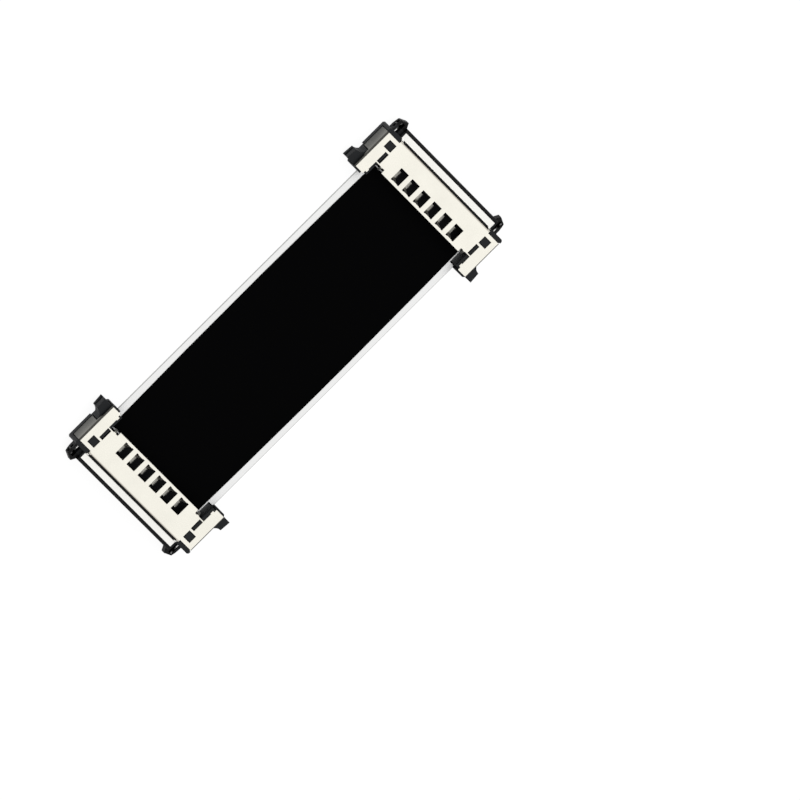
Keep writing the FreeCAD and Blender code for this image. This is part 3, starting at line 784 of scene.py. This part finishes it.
def floor_material(light):
    """Pale floor: part plain white that takes shadows, part steady white, and clear from below."""
    finish = new_finish("floor")
    plain = finish.made("BsdfDiffuse", None, {"Color": opaque(FLOOR_WHITE)})
    glow = finish.made("Emission", None, {"Color": opaque(WHITE), "Strength": FLOOR_STRENGTH})
    clear = finish.made("BsdfTransparent")
    path = finish.node("LightPath")
    rays = ("Is Camera Ray", "Is Glossy Ray", "Is Transmission Ray")
    seen = finish.clamped(sum(finish.out(path, ray) for ray in rays))
    below = finish.out(finish.node("NewGeometry"), "Backfacing")
    top = finish.mixed_shader(seen * light.floor_glow, plain, glow)
    return finish.shown(finish.mixed_shader(below, top, clear))


def make_sky(light):
    """A studio that is bright overhead, dimmer towards the horizon, and pale below."""
    world = bpy.data.worlds.new("soft_sky")
    bpy.context.scene.world = world
    sky = Finish(world, "OutputWorld")
    direction = sky.out(sky.node("TexCoord"), "Generated")
    up = sky.out(sky.node("SeparateXYZ", None, {0: direction}), "Z")
    above, below = sky.clamped(up), sky.clamped(-up)
    level = (light.horizon + above * (light.zenith - light.horizon)
             + below * (light.bounce - light.horizon))
    sky.shown(sky.made("Background", None, {"Color": opaque(WHITE), "Strength": level}))


def make_key(light):
    """The large lamp, turned towards the cable."""
    bpy.ops.object.light_add(type="AREA", location=KEY_PLACE)
    lamp = bpy.context.object
    lamp.name = "key_lamp"
    lamp.data.size = light.key_size
    lamp.data.energy = light.key
    lamp.rotation_euler = (-lamp.location).to_track_quat("-Z", "Y").to_euler()


def make_camera(view):
    """The photograph's camera: the cable is turned in front of it, and the lens is far off."""
    turned = (Matrix.Rotation(view.turn, 3, "Z") @ Matrix.Rotation(view.sway, 3, "Y")
              @ Matrix.Rotation(view.tilt, 3, "X"))
    right, up, back = (Vector(row) for row in turned)
    data = bpy.data.cameras.new("photo_camera")
    camera = bpy.data.objects.new("photo_camera", data)
    bpy.context.scene.collection.objects.link(camera)
    data.sensor_width = SENSOR_WIDTH
    pixels_to_focus = view.scale * PER_MM * view.distance
    data.lens = pixels_to_focus * SENSOR_WIDTH / PHOTO_SIDE
    data.clip_start = view.distance / CLIP_SPAN
    data.clip_end = view.distance * CLIP_SPAN
    camera.matrix_world = Matrix((right, up, back)).transposed().to_4x4()
    camera.location = right * view.aim[0] + up * view.aim[1] + back * view.distance
    bpy.context.scene.camera = camera


class CABLE_OT_stage(CableOperator):
    """Set the floor, the light and the photograph's camera"""
    bl_idname = "cable.stage"
    bl_label = "Stage"

    def execute(self, context):
        scene = context.scene
        bpy.ops.object.select_all(action="DESELECT")
        bpy.ops.mesh.primitive_plane_add(size=FLOOR_SIZE, location=(0, 0, cad_low.z - FLOOR_DROP))
        floor = context.object
        floor.name = "floor"
        floor.data.materials.append(floor_material(scene.cable_light))
        floor.visible_diffuse = False
        floor.visible_shadow = False
        make_sky(scene.cable_light)
        make_key(scene.cable_light)
        make_camera(scene.cable_view)
        scene.view_settings.view_transform = "Standard"
        return {"FINISHED"}


class CABLE_PT_panel(bpy.types.Panel):
    """Everything that finishes the cable, in order"""
    bl_idname = "CABLE_PT_panel"
    bl_label = "Flex cable"
    bl_space_type = "VIEW_3D"
    bl_region_type = "UI"
    bl_category = "Flex cable"

    def draw(self, context):
        for operator in OPERATORS:
            self.layout.operator(operator.bl_idname)
        for name, _ in SETTINGS:
            group = getattr(context.scene, name)
            box = self.layout.box()
            for key in group.bl_rna.properties.keys():
                if key not in ("rna_type", "name"):
                    box.prop(group, key)


SETTINGS = (
    ("cable_edges", CableEdges),
    ("cable_colours", CableColours),
    ("cable_print", CablePrint),
    ("cable_view", CableView),
    ("cable_light", CableLight),
)
OPERATORS = (
    CABLE_OT_stage,
    CABLE_OT_housings,
    CABLE_OT_covers,
    CABLE_OT_contacts,
    CABLE_OT_latches,
    CABLE_OT_ribbon,
)


def register():
    for name, group in SETTINGS:
        bpy.utils.register_class(group)
        setattr(bpy.types.Scene, name, PointerProperty(type=group))
    for operator in OPERATORS:
        bpy.utils.register_class(operator)
    bpy.utils.register_class(CABLE_PT_panel)


def unregister():
    bpy.utils.unregister_class(CABLE_PT_panel)
    for operator in reversed(OPERATORS):
        bpy.utils.unregister_class(operator)
    for name, group in reversed(SETTINGS):
        delattr(bpy.types.Scene, name)
        bpy.utils.unregister_class(group)


def main():
    register()
    for operator in OPERATORS:
        group, name = operator.bl_idname.split(".")
        getattr(getattr(bpy.ops, group), name)()


if __name__ == "__main__":
    main()
